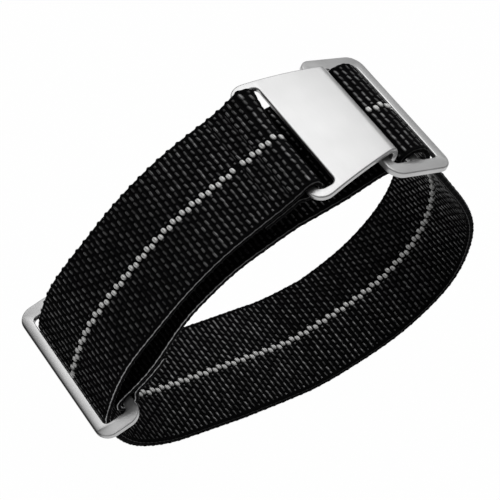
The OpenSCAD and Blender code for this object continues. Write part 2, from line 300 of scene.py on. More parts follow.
def ribbed_nylon():
    """Black nylon yarn, woven: a soft grey highlight is painted on the floats' crowns, the grooves
    between the ribs stay black, and a light highlight line is painted along each edge. It reads the
    attribute crown, which is 0 in a groove, 1 on a crown and more than that on the painted highlight
    line."""
    material, tree, shader = new_material("ribbed_black_nylon")
    uv = add_node(tree, "ShaderNodeUVMap", uv_map="weave")
    yarn = add_node(tree, "ShaderNodeMapping", [("Vector", uv.outputs[0])],
                    in_Scale=(1 / FIBRE_ACROSS, 1 / FIBRE_ALONG, 1))
    fibre = add_node(tree, "ShaderNodeTexNoise", [("Vector", yarn.outputs[0])],
                     in_Scale=1.0, in_Detail=3.0)
    crown = add_node(tree, "ShaderNodeAttribute", attribute_name="crown")
    tip = add_node(tree, "ShaderNodeMath", [(0, crown.outputs["Fac"])], operation="POWER", in_1=7.0)
    patch = add_node(tree, "ShaderNodeTexNoise", [("Vector", uv.outputs[0])],
                     in_Scale=1 / SHEEN_PATCH, in_Detail=2.0)
    sheen_patchiness = add_node(tree, "ShaderNodeMapRange", [("Value", patch.outputs["Fac"])],
                      in_1=0.35, in_2=0.62, in_3=0.45, in_4=1.25)
    crown_highlight = add_node(tree, "ShaderNodeMath", [(0, tip.outputs[0]), (1, fibre.outputs["Fac"])],
                    operation="MULTIPLY")
    crown_highlight = add_node(tree, "ShaderNodeMath", [(0, crown_highlight.outputs[0]), (1, sheen_patchiness.outputs[0])],
                    operation="MULTIPLY")
    # Painted highlight: how much grey is painted on each crown. The same amount sets the coat.
    painted_sheen_and_coat = add_node(tree, "ShaderNodeMapRange", [("Value", crown_highlight.outputs[0])], in_1=0.05, in_2=0.66,
                     in_3=0.0, in_4=1.0)
    black = add_node(tree, "ShaderNodeMix", [("Factor", painted_sheen_and_coat.outputs[0])], data_type="RGBA",
                     in_6=paint("#060607"), in_7=paint("#1f1f21"))
    # Painted highlight: a light grey line along each edge of the webbing.
    line = add_node(tree, "ShaderNodeMapRange", [("Value", crown.outputs["Fac"])],
                    in_1=LINE_SHOWS, in_2=LINE_LIGHTEST, in_3=0.0, in_4=1.0)
    colour = add_node(tree, "ShaderNodeMix", [("Factor", line.outputs[0]), (6, black.outputs[2])],
                      data_type="RGBA", in_7=paint("#dcdcde"))
    gloss = add_node(tree, "ShaderNodeMapRange", [("Value", crown.outputs["Fac"])],
                     in_1=0.6, in_2=0.95, in_3=0.03, in_4=CROWN_GLOSS)
    rough = add_node(tree, "ShaderNodeMapRange", [("Value", gloss.outputs[0])],
                     in_1=0.0, in_2=CROWN_GLOSS, in_3=0.8, in_4=0.26)
    bump = add_node(tree, "ShaderNodeBump", [("Height", fibre.outputs["Fac"])], in_Strength=0.5,
                    in_Distance=FIBRE_BUMP * MM)
    tree.links.new(colour.outputs[2], shader.inputs["Base Color"])
    tree.links.new(gloss.outputs[0], shader.inputs["Specular IOR Level"])
    tree.links.new(painted_sheen_and_coat.outputs[0], shader.inputs["Coat Weight"])
    tree.links.new(rough.outputs[0], shader.inputs["Roughness"])
    tree.links.new(bump.outputs[0], shader.inputs["Normal"])
    shader.inputs["IOR"].default_value = 1.53
    shader.inputs["Coat Roughness"].default_value = 0.22
    shader.inputs["Coat IOR"].default_value = 1.7
    return material


def blend_colours(ramp, low, high, low_at, high_at):
    """Sets a colour ramp's two colours and their places."""
    for stop, code, place in zip(ramp.color_ramp.elements, (low, high), (low_at, high_at)):
        stop.position = place
        stop.color = paint(code)


def yarn_material(name, low, high, roughness, fibre_mm):
    """Twisted yarn: fine fibres, slightly uneven in tone, drawn as coarse as the render can show."""
    material, tree, shader = new_material(name)
    place = add_node(tree, "ShaderNodeTexCoord")
    fine = add_node(tree, "ShaderNodeTexNoise", [("Vector", place.outputs["Object"])],
                    in_Scale=1 / (fibre_mm * MM), in_Detail=3.0)
    tone = add_node(tree, "ShaderNodeValToRGB", [("Fac", fine.outputs["Fac"])])
    blend_colours(tone, low, high, 0.35, 0.7)
    bump = add_node(tree, "ShaderNodeBump", [("Height", fine.outputs["Fac"])], in_Strength=0.4,
                    in_Distance=FIBRE_BUMP * MM)
    tree.links.new(tone.outputs[0], shader.inputs["Base Color"])
    tree.links.new(bump.outputs[0], shader.inputs["Normal"])
    shader.inputs["Roughness"].default_value = roughness
    return material


def shade_by_tone(material):
    """Paints shade on the floats as the attribute tone says: darker down their sides and in the line
    between their two plies.
    """
    tree = material.node_tree
    shader = next(n for n in tree.nodes if n.type == "BSDF_PRINCIPLED")
    base = shader.inputs["Base Color"].links[0].from_socket
    tone = add_node(tree, "ShaderNodeAttribute", attribute_name="tone")
    # Painted shade: the tone blends the yarn's colour towards this grey.
    shade = add_node(tree, "ShaderNodeMix", [("Factor", tone.outputs["Fac"]), (7, base)],
                     data_type="RGBA", in_6=paint("#4c4c4a"))
    tree.links.new(shade.outputs[2], shader.inputs["Base Color"])
    shader.inputs["Specular IOR Level"].default_value = 0.9


# A grain of brushed steel is this many times as long as it is wide, and the sheet's tone drifts over
# patches of this many millimetres.
GRAIN_LENGTH = 25
TONE_PATCH = 6


def satin_steel(name, low, high, roughness, grain_mm, bump_mm):
    """Stainless sheet, brushed across the strap: a fine satin grain, soft reflections and an even
    tone. The grain is drawn coarser than the real 0.02 mm, so that it shows. The attribute rim,
    which only the slider has, is 1 where shade is painted dark on its outer edge."""
    material, tree, shader = new_material(name)
    place = add_node(tree, "ShaderNodeTexCoord")
    along = add_node(tree, "ShaderNodeMapping", [("Vector", place.outputs["Object"])],
                     in_Scale=(1 / (grain_mm * MM), 1 / (GRAIN_LENGTH * grain_mm * MM),
                               1 / (grain_mm * MM)))
    grain = add_node(tree, "ShaderNodeTexNoise", [("Vector", along.outputs[0])], in_Scale=1.0,
                     in_Detail=4.0)
    cloud = add_node(tree, "ShaderNodeTexNoise", [("Vector", place.outputs["Object"])],
                     in_Scale=1 / (TONE_PATCH * MM), in_Detail=1.0)
    tone = add_node(tree, "ShaderNodeValToRGB", [("Fac", cloud.outputs["Fac"])])
    blend_colours(tone, low, high, 0.3, 0.7)
    rough = add_node(tree, "ShaderNodeMapRange", [("Value", grain.outputs["Fac"])],
                     in_1=0.3, in_2=0.7, in_3=roughness - 0.03, in_4=roughness + 0.03)
    bump = add_node(tree, "ShaderNodeBump", [("Height", grain.outputs["Fac"])], in_Strength=0.25,
                    in_Distance=bump_mm * MM)
    # Painted shade: the slider's outer edge turns dark grey.
    rim_shade = add_node(tree, "ShaderNodeAttribute", attribute_name="rim_shade")
    dark = add_node(tree, "ShaderNodeMath", [(0, rim_shade.outputs["Fac"])], operation="POWER", in_1=4.0)
    shade = add_node(tree, "ShaderNodeMix", [("Factor", dark.outputs[0]), (6, tone.outputs[0])],
                     data_type="RGBA", in_7=paint("#3c3c3c"))
    tree.links.new(shade.outputs[2], shader.inputs["Base Color"])
    tree.links.new(rough.outputs[0], shader.inputs["Roughness"])
    tree.links.new(bump.outputs[0], shader.inputs["Normal"])
    shader.inputs["Metallic"].default_value = 1.0
    return material


WEBBING = ribbed_nylon()
# Undyed nylon yarn, thick and glossy, which catches the light on each float.
STRIPE = yarn_material("light_grey_yarn", "#dededb", "#ffffff", 0.32, 0.16)
shade_by_tone(STRIPE)
# Black polyester thread, duller than the webbing, so that its rows hardly show.
THREAD = yarn_material("black_polyester_thread", "#030304", "#09090a", 0.75, 0.2)
# The hook's plate is brushed smooth, and the ring and the slider have a slightly coarser satin.
HOOK_STEEL = satin_steel("satin_steel_plate", "#b5b5b5", "#bababa", 0.38, 0.1, 0.0)
FRAME_STEEL = satin_steel("satin_steel_frame", "#b4b4b4", "#c0c0c0", 0.42, 0.12, 0.003)


def finish_piece(piece, body, material, nodes):
    """Gives a piece its material, its body and the nodes that it stands for."""
    piece.data.materials.clear()
    piece.data.materials.append(material)
    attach(piece, body)
    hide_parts(*nodes)


def select_only(piece):
    """Makes a piece the active one and the only one selected."""
    bpy.ops.object.select_all(action="DESELECT")
    piece.select_set(True)
    bpy.context.view_layer.objects.active = piece


def mesh_piece(name, verts, faces):
    """A smooth piece from points in millimetres and from faces, turned outwards."""
    mesh = bpy.data.meshes.new(name)
    mesh.from_pydata([tuple(v) for v in verts * MM], [], [tuple(int(i) for i in f) for f in faces])
    mesh.polygons.foreach_set("use_smooth", np.ones(len(mesh.polygons), dtype=bool))
    piece = bpy.data.objects.new(name, mesh)
    bpy.context.scene.collection.objects.link(piece)
    select_only(piece)
    bpy.ops.object.mode_set(mode="EDIT")
    bpy.ops.mesh.select_all(action="SELECT")
    bpy.ops.mesh.normals_make_consistent(inside=False)
    bpy.ops.object.mode_set(mode="OBJECT")
    return piece


# The weave: ribs across the webbing, each of short floats that are brick-staggered from rib to rib,
# with deep dark grooves between the ribs. Heights count from the webbing's middle.
ROWS_A_RIB = 6
COLS_A_DASH = 5
DASHES = 24
CROWN_PROUD = 0.05
CROWN = WEB_T / 2 + CROWN_PROUD
RIB_DEPTH = 0.34
RIDGE_SHARPNESS = 1.4
FLOAT_SQUARENESS = 5
FLOAT_SLANT = 0.12
GAP_HEIGHT = 0.5
STRIPE_HALF = 0.7
STRIPE_BED = 0.25
SEAM_DEPTH = 0.05
SEAM_SPREAD = 0.4

# The runs between which painted shade dims the yarn, fading in and out: where the band lies bare
# before the slider, and on the far half inside the loop.
FADE = (0, 1, 1, 0)
SHOULDER_RUNS = (28, 40, 72, 84)
INSIDE_RUNS = (104, 118, 140, 156)

# How much painted shade takes off the yarn's painted sheen and gloss in the hook's slot and on the
# shaded runs, as shares, and the painted sheen and gloss of the selvage between two ribs and how much
# more it has on each.
SLOT_SHADE_DIM = 0.6
BAND_SHADE_DIM = 0.09
EDGE_SHINE = 0.2
EDGE_SHINE_MORE = 0.3

# The bars that the webbing bends tightly round, how near to one it is pressed flat, over what length
# that fades, and by how much.
TIGHT_BARS = (HOOK_BAR_AT, SLIDER_PIVOT, RING_AT)
PRESS_REACH = 1.9
PRESS_FADE = 0.25
PRESS_FLAT = 0.1

# The selvage: where it starts, its columns, what share of the edge's height each has, and the one
# that carries the painted highlight line.
SELVAGE = 9.35
EDGE_COLS = (9.42, 9.6, 9.76, 9.9, 9.98, 10.0)
EDGE_ROUND = (1, 0.97, 0.9, 0.74, 0.5, 0.2)
LINE_COL = -3
EDGE_DROP = 0.12
EDGE_LOOP = 0.08
INNER_COLS = np.arange(0, SELVAGE, DASH_PITCH / COLS_A_DASH)
ACROSS = np.concatenate([INNER_COLS, EDGE_COLS])[None, :]
TURN_IN = np.concatenate([np.ones_like(INNER_COLS), EDGE_ROUND])[None, :]

# By run: how far the far and the near edge stand out past half the width, and the value of the
# highlight line painted along the edges.
FAR_EDGE = ((0, 0), (16, 0), (24, 0.1), (30, 0), (46, 0.05), (50, 0.15), (55, 0.7), (60, 0.85),
            (62.5, 0.85), (66, 0.4), (70, 0.05), (100, 0), (109, 0.1), (113, -0.15), (120, -0.8),
            (126, -0.47), (134, -0.17), (140, 0), (192, 0), (200, 0.7), (208, 0))
NEAR_EDGE = ((62, 0), (70, 0.42), (78, 0.3), (86, -0.05), (96, 0.2), (104, 0.05), (112, -0.25),
             (120, -0.1), (132, -0.1), (140, 0.1), (155, 0.2), (166, -0.1), (186, 0), (198, 0.2),
             (206, -0.25), (212, 0))
EDGE_HIGHLIGHT_LINE = ((0, 0.9), (16, 1.15), (30, 1.3), (62, LINE_LIGHTEST), (66, 0.8), (190, 0.8),
             (210, 1.1), (225, LINE_LIGHTEST), (300, LINE_LIGHTEST))
# The edges' shifts start this far from the middle. Every second rib stands out at the edge as a
# tooth, by so much up to the first of these runs and from the second on, far edge first.
STEADY = 4.0
TEETH_RUNS = (85, 100)
EDGE_TEETH = {1: (0.22, 0.06), -1: (0.06, 0.06)}

# The loop round the hook's bar ends before this run. The far edge stands out by the slack where the
# loop is furthest along x, and the slot's shade ends just before its highest place.
HOOK_LOOP = RUN < 20
LOOP_SLACK = 1.2
SLACK_SPREAD = 2.6
HOOK_TURN_RUN = RUN[np.argmax(POINTS[HOOK_LOOP, 0])]
SLOT_SHADE_LEAD = 0.5
SLOT_SHADE_FADE = 0.6
SLOT_SHADE_RUN = RUN[np.argmax(POINTS[HOOK_LOOP, 1])] - SLOT_SHADE_LEAD

# Where the ply that returns inside the loop lies below the hook's slot, and how far the slot's shade
# reaches along it.
UNDER_SLOT_X = 2.4
UNDER_SLOT_REACH = 3
INNER_PLY = (RUN > 150) & (POINTS[:, 1] > 40)
UNDER_SLOT_RUN = RUN[INNER_PLY][np.argmin(np.abs(POINTS[INNER_PLY, 0] - UNDER_SLOT_X))]

# What differs from float to float: how high it stands, its place, the strength of its painted sheen
# and its turn.
rng = np.random.RandomState(7)
DASH_LIFT = rng.uniform(-0.035, 0.02, (RIBS + 2, DASHES))
DASH_PLACE = rng.uniform(-0.07, 0.07, (RIBS + 2, DASHES))
DASH_SHINE = rng.uniform(0.82, 1.0, (RIBS + 2, DASHES))
DASH_TURN = rng.uniform(-0.14, 0.14, (RIBS + 2, DASHES))


def rib_phase(rows):
    """From -0.5 at one side of a rib to 0.5 at the other."""
    return ((rows % ROWS_A_RIB) / ROWS_A_RIB - 0.5)[:, None]


def edge_loop(rows):
    """The weft's turn round the edge, 1 in the middle of each rib and 0 between two."""
    return 0.5 + 0.5 * np.cos(2 * np.pi * rib_phase(rows))


def relief(rows, slant):
    """How high the yarns stand at each row and column, from 0 between the ribs to 1 on a crown,
    with each float's lift and the strength of its painted sheen."""
    rib = (rows // ROWS_A_RIB)[:, None]
    across = ACROSS / DASH_PITCH + 0.5 * (rib % 2)
    dash = np.floor(across).astype(int) % DASHES
    cell = across - np.floor(across) - 0.5 + DASH_PLACE[rib, dash]
    turn = slant + DASH_TURN[rib, dash]
    ridge = np.cos(np.pi * np.clip(rib_phase(rows) - turn * cell, -0.5, 0.5)) ** RIDGE_SHARPNESS
    crest = 1 - np.clip(np.abs(cell) * 2, 0, 1) ** FLOAT_SQUARENESS
    height = ridge * (GAP_HEIGHT + (1 - GAP_HEIGHT) * crest)
    return height, DASH_LIFT[rib, dash], DASH_SHINE[rib, dash]


def in_slot(s):
    """1 where the loop round the hook's bar turns down into the slot, where painted shade keeps its
    yarn dark.
    """
    return np.clip((SLOT_SHADE_RUN - s) / SLOT_SHADE_FADE, 0, 1)


def below_slot(s):
    """1 on the ply that passes below the hook's slot, which shades its stripe."""
    return 1.0 * (abs(s - UNDER_SLOT_RUN) < UNDER_SLOT_REACH)


def band_shade(s, side):
    """1 on the runs where painted shade dims the yarn. The runs inside the loop count on the far half
    only.
    """
    return np.interp(s, SHOULDER_RUNS, FADE) + (side > 0) * np.interp(s, INSIDE_RUNS, FADE)


def pressed(s):
    """1 where the webbing bends tightly round a bar, which flattens the yarn on its inner face."""
    point = at_run(s)[0]
    gaps = [np.linalg.norm(point - np.array(bar), axis=-1) for bar in TIGHT_BARS]
    return np.clip((PRESS_REACH - np.min(gaps, axis=0)) / PRESS_FADE, 0, 1)


def seam_dip(s):
    """The stitches pull the webbing in along their rows."""
    return sum(SEAM_DEPTH * np.exp(-((s - seam) / SEAM_SPREAD) ** 2)
               for seam in HOOK_SEAM_RUNS + SLIDER_SEAM_RUNS)


def loop_slack(s):
    """How far the edge stands out where the webbing turns at the hook's bar."""
    turn = np.exp(-((s - HOOK_TURN_RUN) / SLACK_SPREAD) ** 2)[:, None]
    return LOOP_SLACK * turn * (ACROSS * 2 / WEB_W) ** 2


def edge_reach(side, rows, s):
    """How far across each column lies, with the edge's slow shifts and its teeth."""
    table = np.array(FAR_EDGE if side > 0 else NEAR_EDGE)
    tooth = edge_loop(rows) * (rows // ROWS_A_RIB % 2)[:, None]
    wider = np.interp(s, table[:, 0], table[:, 1])[:, None]
    wider = wider + np.interp(s, TEETH_RUNS, EDGE_TEETH[side])[:, None] * tooth
    return ACROSS + wider * np.clip((ACROSS - STEADY) / (WEB_W / 2 - STEADY), 0, 1) ** 1.5


def woven_face(side, sign, rows, s):
    """How far a face stands off the middle line, and its painted sheen and gloss. The sign is 1 on
    the inner face.
    """
    loop = edge_loop(rows)
    edge, bed = ACROSS > SELVAGE, ACROSS < STRIPE_HALF
    crown, lift, gleam = relief(rows, -FLOAT_SLANT * side * sign)
    height = CROWN - RIB_DEPTH * (1 - crown) + lift * crown
    height = np.where(edge, (CROWN - EDGE_DROP + EDGE_LOOP * loop) * TURN_IN, height)
    height = np.where(bed, CROWN - STRIPE_BED, height) - seam_dip(s)[:, None]
    if sign > 0:
        height = height - PRESS_FLAT * pressed(s)[:, None]
    # Painted shade: less sheen and gloss in the hook's slot and on the shaded runs.
    shade_dimming = SLOT_SHADE_DIM * in_slot(s) + BAND_SHADE_DIM * band_shade(s, side)
    painted_sheen_and_gloss = crown * gleam * (1 - shade_dimming)[:, None]
    painted_sheen_and_gloss = np.where(edge, EDGE_SHINE + EDGE_SHINE_MORE * loop, np.where(bed, 0.0, painted_sheen_and_gloss))
    # The painted highlight line along the edge, by run.
    painted_sheen_and_gloss[:, LINE_COL] = np.interp(s, *zip(*EDGE_HIGHLIGHT_LINE))
    return height, painted_sheen_and_gloss


def webbing_part(name, side, first, last):
    """One half of the webbing's width, over a run of its ribs, as a closed band."""
    rows = np.arange(first * ROWS_A_RIB, last * ROWS_A_RIB + 1)
    s = rows * RIB / ROWS_A_RIB
    point, left = at_run(s)
    reach = edge_reach(side, rows, s)
    slack = loop_slack(s) if side > 0 else 0.0
    cols = ACROSS.shape[1]
    ring = 2 * cols
    verts = np.zeros((len(rows), ring, 3))
    crown = np.zeros((len(rows), ring))
    for order, sign in ((slice(0, cols), -1), (slice(ring - 1, cols - 1, -1), 1)):
        height, crown[:, order] = woven_face(side, sign, rows, s)
        off = sign * height - slack
        verts[:, order, 0] = point[:, 0:1] + left[:, 0:1] * off
        verts[:, order, 1] = side * reach
        verts[:, order, 2] = point[:, 1:2] + left[:, 1:2] * off
    index = np.arange(len(rows) * ring).reshape(len(rows), ring)
    beside = np.roll(index, -1, axis=1)
    quads = np.stack([index[:-1], beside[:-1], beside[1:], index[1:]], axis=-1).reshape(-1, 4)
    caps = [[r[i], r[i + 1], r[ring - 2 - i], r[ring - 1 - i]] for r in (index[0], index[-1])
            for i in range(cols - 1)]
    piece = mesh_piece(name, verts.reshape(-1, 3), np.concatenate([quads, np.array(caps)]))
    corners = np.zeros(len(piece.data.loops), dtype=np.int64)
    piece.data.loops.foreach_get("vertex_index", corners)
    flat = np.stack([np.repeat(s, ring), verts[:, :, 1].ravel()], axis=1)
    weave = piece.data.uv_layers.new(name="weave")
    weave.data.foreach_set("uv", flat[corners].ravel())
    # The attribute crown carries the painted sheen and the painted highlight line to the colour, and
    # the gloss.
    piece.data.attributes.new("crown", "FLOAT", "POINT").data.foreach_set("value", crown.ravel())
    finish_piece(piece, "strap", WEBBING, ["webbing"])


# Two halves of the width and two of the length keep each piece under 200,000 triangles.
for side, word in ((-1, "near"), (1, "far")):
    for part in range(2):
        webbing_part("webbing_%s_%d" % (word, part + 1), side, RIBS * part // 2,
                     RIBS * (part + 1) // 2)


def laid_on(s, along, off, across):
    """A small shape's points, laid on the webbing at a run: along it, off its middle, across it."""
    point, left = at_run(s)
    x = point[0] + left[1] * along + left[0] * off
    z = point[1] - left[0] * along + left[1] * off
    return np.stack([x, across, z], axis=1)


def joined(name, shapes, faces):
    """One piece of many copies of a small shape."""
    count = len(shapes[0])
    every = [tuple(i + count * k for i in face) for k in range(len(shapes)) for face in faces]
    return mesh_piece(name, np.concatenate(shapes), every)


def taken_apart(piece):
    """A small shape's points and faces. The piece itself goes."""
    shape = np.array([tuple(v.co) for v in piece.data.vertices])
    faces = [tuple(p.vertices) for p in piece.data.polygons]
    bpy.data.objects.remove(piece)
    return shape, faces


def slice_across(places, axis):
    """Adds edges across the active piece, in planes at some places along an axis."""
    bpy.ops.object.mode_set(mode="EDIT")
    for place in places:
        bpy.ops.mesh.select_all(action="SELECT")
        bpy.ops.mesh.bisect(plane_co=[place * a for a in axis], plane_no=axis)
    bpy.ops.object.mode_set(mode="OBJECT")


# The stripe: one light float a rib on each face, to one side and the other in turn. It is sized in
# ribs along the webbing and in millimetres across it and off it.
BEAD_SIZE = (0.41, 0.57, 0.42)
BEAD_SHIFT = 0.2
BEAD_SLANT = 0.12
BEAD_SEAT = 0.26
BEAD_PRESS = 0.24
BEAD_SINK = 0.56
BEAD_SQUARENESS = 0.85
# The line between the two plies: how sharp, its slant, where it ends, its depth and how much painted
# shade darkens it.
PLY_LINE = 2.2
PLY_SLANT = 0.2
PLY_END = 0.9
PLY_DEPTH = 0.3
PLY_SHADE = 0.6
# How steeply painted shade deepens down a float's sides, and by how much the tone is lowered there.
SIDE_SHADE_FALL = 2.2
SIDE_SHADE_FLOOR = 0.6


def bead_shape():
    """A plump, square-shouldered float of two plies, with the line between them pressed in. Its tone
    is painted shade: 1 on top, falling to 0 down its sides, and lower in the line between the plies."""
    bpy.ops.object.select_all(action="DESELECT")
    bpy.ops.mesh.primitive_uv_sphere_add(segments=12, ring_count=6, radius=1,
                                         rotation=(math.pi / 2, 0, 0))
    bpy.ops.object.transform_apply(location=False, rotation=True, scale=False)
    shape, faces = taken_apart(bpy.context.object)
    ply = np.clip(1 - PLY_LINE * np.abs(shape[:, 0] - PLY_SLANT * shape[:, 1]), 0, 1)
    ply *= np.abs(shape[:, 1]) < PLY_END
    shape = np.sign(shape) * np.abs(shape) ** BEAD_SQUARENESS
    # Painted shade on the float's sides and in the line between its plies.
    tone = np.clip(SIDE_SHADE_FALL * np.abs(shape[:, 2]) - SIDE_SHADE_FLOOR, 0, 1) * (1 - PLY_SHADE * ply)
    shape[:, 2] *= 1 - PLY_DEPTH * ply
    return shape * BEAD_SIZE, faces, tone


def stripe():
    """All the floats of both faces, those that a shade hides sunk in and painted dark."""
    shape, faces, tone = bead_shape()
    beads, painted_tones = [], []
    for face, sign in ((0, -1), (1, 1)):
        for rib in range(RIBS):
            if face == 0 and abs(rib * RIB - HOOK_SEAM_RUNS[1]) < RIB / 2:
                continue  # the hook's rear seam covers this float
            s = (rib + 0.5) * RIB
            shade = max(in_slot(s), below_slot(s))
            sunk = BEAD_PRESS * pressed(s) if sign > 0 else BEAD_SINK * shade
            side = BEAD_SHIFT * (1 if (rib + face) % 2 else -1)
            along = shape[:, 0] * RIB - sign * BEAD_SLANT * shape[:, 1]
            off = sign * (CROWN - BEAD_SEAT - sunk + shape[:, 2])
            beads.append(laid_on(s, along, off, shape[:, 1] + side))
            painted_tones.append(tone * (1 - shade))
    piece = joined("centre_stripe_yarn", beads, faces)
    shading = piece.data.attributes.new("tone", "FLOAT", "POINT")
    shading.data.foreach_set("value", np.concatenate(painted_tones))
    finish_piece(piece, "strap", STRIPE, ["centre_stripe"])


stripe()

# The stitching: each stitch is a short length of thread that bows and dips into the webbing at both
# ends. On the outer face it lies on the band, and on the inner face on the sewn tail.
STITCH_SHARE = 0.94
STITCH_STEPS = 8
STITCH_BOW = 0.22
OUTER_SINK = 0.42
INNER_SINK = 0.36


def stitch_shape():
    """One stitch, which takes up most of its length in the row."""
    length = STITCH_LEN * STITCH_SHARE
    bpy.ops.object.select_all(action="DESELECT")
    bpy.ops.mesh.primitive_cylinder_add(vertices=8, radius=THREAD_D / 2, depth=length,
                                        rotation=(math.pi / 2, 0, 0))
    bpy.ops.object.transform_apply(location=False, rotation=True, scale=False)
    slice_across([(k / STITCH_STEPS - 0.5) * length for k in range(1, STITCH_STEPS)], (0, 1, 0))
    shape, faces = taken_apart(bpy.context.object)
    shape[:, 2] -= STITCH_BOW * (2 * np.abs(shape[:, 1]) / STITCH_LEN) ** 4
    return shape, faces


def seam(name, run, shift):
    """A row of stitches across the webbing at a run, moved along the row by the shift."""
    shape, faces = stitch_shape()
    count = int((WEB_W - 2 * STITCH_MARGIN) // STITCH_LEN)
    stitches = []
    for sign, out in ((-1, WEB_T / 2 - OUTER_SINK), (1, WEB_T * 1.5 + PLY_GAP - INNER_SINK)):
        for i in range(count):
            y = (i + 0.5 - count / 2) * STITCH_LEN + shift
            stitches.append(laid_on(run, shape[:, 0], sign * (out + shape[:, 2]), shape[:, 1] + y))
    piece = joined(name + "_thread", stitches, faces)
    finish_piece(piece, "strap", THREAD, [name])


seam("hook_seam_front", HOOK_SEAM_RUNS[0], 0.0)
seam("hook_seam_rear", HOOK_SEAM_RUNS[1], STITCH_LEN / 2)
seam("slider_seam_front", SLIDER_SEAM_RUNS[0], 0.0)
seam("slider_seam_rear", SLIDER_SEAM_RUNS[1], STITCH_LEN / 2)

# The metal parts: the steps of a rounded corner and of a softened edge, the angle in degrees from
# which an edge is softened and the one up to which a surface is shaded smooth, how far apart two
# places may be that count as one, and a thickness that cuts through every sheet.
CORNER_STEPS = 10
EDGE_STEPS = 4
EDGE_ANGLE = 50
SMOOTH_ANGLE = 28
NEAR = 0.01
CUTTER_T = 4.0


def slab(length, width, height, name):
    """A flat block round the origin, in millimetres."""
    bpy.ops.object.select_all(action="DESELECT")
    bpy.ops.mesh.primitive_cube_add(size=1)
    block = bpy.context.object
    block.name = name
    block.scale = (length, width, height)
    bpy.ops.object.transform_apply(location=False, rotation=False, scale=True)
    return block


def round_corners(piece, radius, chosen=lambda x: True):
    """Rounds the standing edges of a flat part, or those at a chosen x."""
    select_only(piece)
    bpy.ops.object.mode_set(mode="EDIT")
    bpy.ops.mesh.select_mode(type="EDGE")
    bpy.ops.mesh.select_all(action="DESELECT")
    bpy.ops.object.mode_set(mode="OBJECT")
    for edge in piece.data.edges:
        a, b = (piece.data.vertices[i].co for i in edge.vertices)
        edge.select = abs(a.x - b.x) + abs(a.y - b.y) < NEAR and chosen(a.x)
    bpy.ops.object.mode_set(mode="EDIT")
    bpy.ops.mesh.bevel(offset=radius, segments=CORNER_STEPS, affect="EDGES")
    bpy.ops.object.mode_set(mode="OBJECT")


def cut_window(piece, place, length, width, radius):
    """Cuts a window with rounded corners through a flat part, round a place along it."""
    cutter = slab(length, width, CUTTER_T, "cutter")
    round_corners(cutter, radius)
    cutter.data.transform(Matrix.Translation((place, 0, 0)))
    select_only(piece)
    hole = piece.modifiers.new("window", "BOOLEAN")
    hole.operation = "DIFFERENCE"
    hole.solver = "EXACT"
    hole.object = cutter
    bpy.ops.object.modifier_apply(modifier=hole.name)
    bpy.data.objects.remove(cutter)


def smooth_gently():
    """Shades the active piece smooth, up to the smooth angle."""
    bpy.ops.object.shade_smooth_by_angle(angle=math.radians(SMOOTH_ANGLE))


def round_edges(piece, width):
    """Softens the edges of a flat part, as tumbling does."""
    select_only(piece)
    soft = piece.modifiers.new("edges", "BEVEL")
    soft.width = width
    soft.segments = EDGE_STEPS
    soft.limit_method = "ANGLE"
    soft.angle_limit = math.radians(EDGE_ANGLE)
    soft.use_clamp_overlap = False
    bpy.ops.object.modifier_apply(modifier=soft.name)
    smooth_gently()


def wire_frame(name, length, width, thick, windows, window_w, at, tilt, edge):
    """A flat frame with windows (place, length), set down at its place in the loop in metres. Its
    place is in its mesh."""
    piece = slab(length, width, thick, name)
    round_corners(piece, FRAME_CORNER_R)
    for place, size in windows:
        cut_window(piece, place, size, window_w, WINDOW_R)
    round_edges(piece, edge)
    piece.data.transform(Matrix.Translation((at[0] * MM, 0, at[1] * MM))
                         @ Matrix.Rotation(-math.radians(tilt), 4, "Y") @ Matrix.Scale(MM, 4))
    return piece


# How far in from the slider's outer edge shade is painted on it at all, and over what length that
# grows.
RIM_REACH = 1.4
RIM_GROWS = 1.15


def darken_outer_edge(piece, at, tilt, length):
    """Paints shade on the outer edge of the slider's free bar, so that it is darker than its top."""
    u = [turned((v.co.x / MM - at[0], v.co.z / MM - at[1]), -tilt)[0] for v in piece.data.vertices]
    rim_shade = piece.data.attributes.new("rim_shade", "FLOAT", "POINT")
    rim_shade.data.foreach_set("value", np.clip((RIM_REACH - length / 2 - np.array(u)) / RIM_GROWS, 0, 1))


slider = wire_frame("slider_frame", SLIDER_LEN, SLIDER_W, SLIDER_T,
                    [((SLIDER_BAR - SLIDER_SEWN_BAR) / 2, SLIDER_WINDOW)], SLIDER_INNER_W,
                    SLIDER_AT, SLIDER_TILT, SLIDER_EDGE)
darken_outer_edge(slider, SLIDER_AT, SLIDER_TILT, SLIDER_LEN)
finish_piece(slider, "slider", FRAME_STEEL, ["slider"])

WINDOW_U = (RING_MID_BAR + RING_WINDOW) / 2
ring = wire_frame("catch_ring_frame", RING_LEN, RING_W, RING_T,
                  [(-WINDOW_U, RING_WINDOW), (WINDOW_U, RING_WINDOW)], RING_INNER_W,
                  RING_AT, RING_TILT, RING_EDGE)
finish_piece(ring, "catch_ring", FRAME_STEEL, ["catch_ring"])

FOLD_RUN = math.radians(FOLD_TURN) * FOLD_MID_R
# The flat blank gets cross edges to bend at: one a millimetre on the plate, but none just before the
# fold, and so many in the fold.
PLATE_STEP = 1.0
PLATE_REST = 0.2
FOLD_CUTS = 15


def bent(u, w):
    """Bends the flat sheet: u along it from the bar, w above its middle."""
    if u <= HOOK_LEN:
        a = math.radians(HOOK_SLOPE) - u / HOOK_CURVE_R
        r = HOOK_CURVE_R + w
        return (CURVE_AT[0] - r * math.sin(a), CURVE_AT[1] + r * math.cos(a))
    turn = min(u - HOOK_LEN, FOLD_RUN) / FOLD_MID_R
    a = math.radians(FOLD_SLOPE) - turn
    r = FOLD_MID_R + w
    x, z = FOLD_AT[0] - r * math.sin(a), FOLD_AT[1] + r * math.cos(a)
    rest = max(0.0, u - HOOK_LEN - FOLD_RUN)
    return (x + rest * math.cos(a), z + rest * math.sin(a))


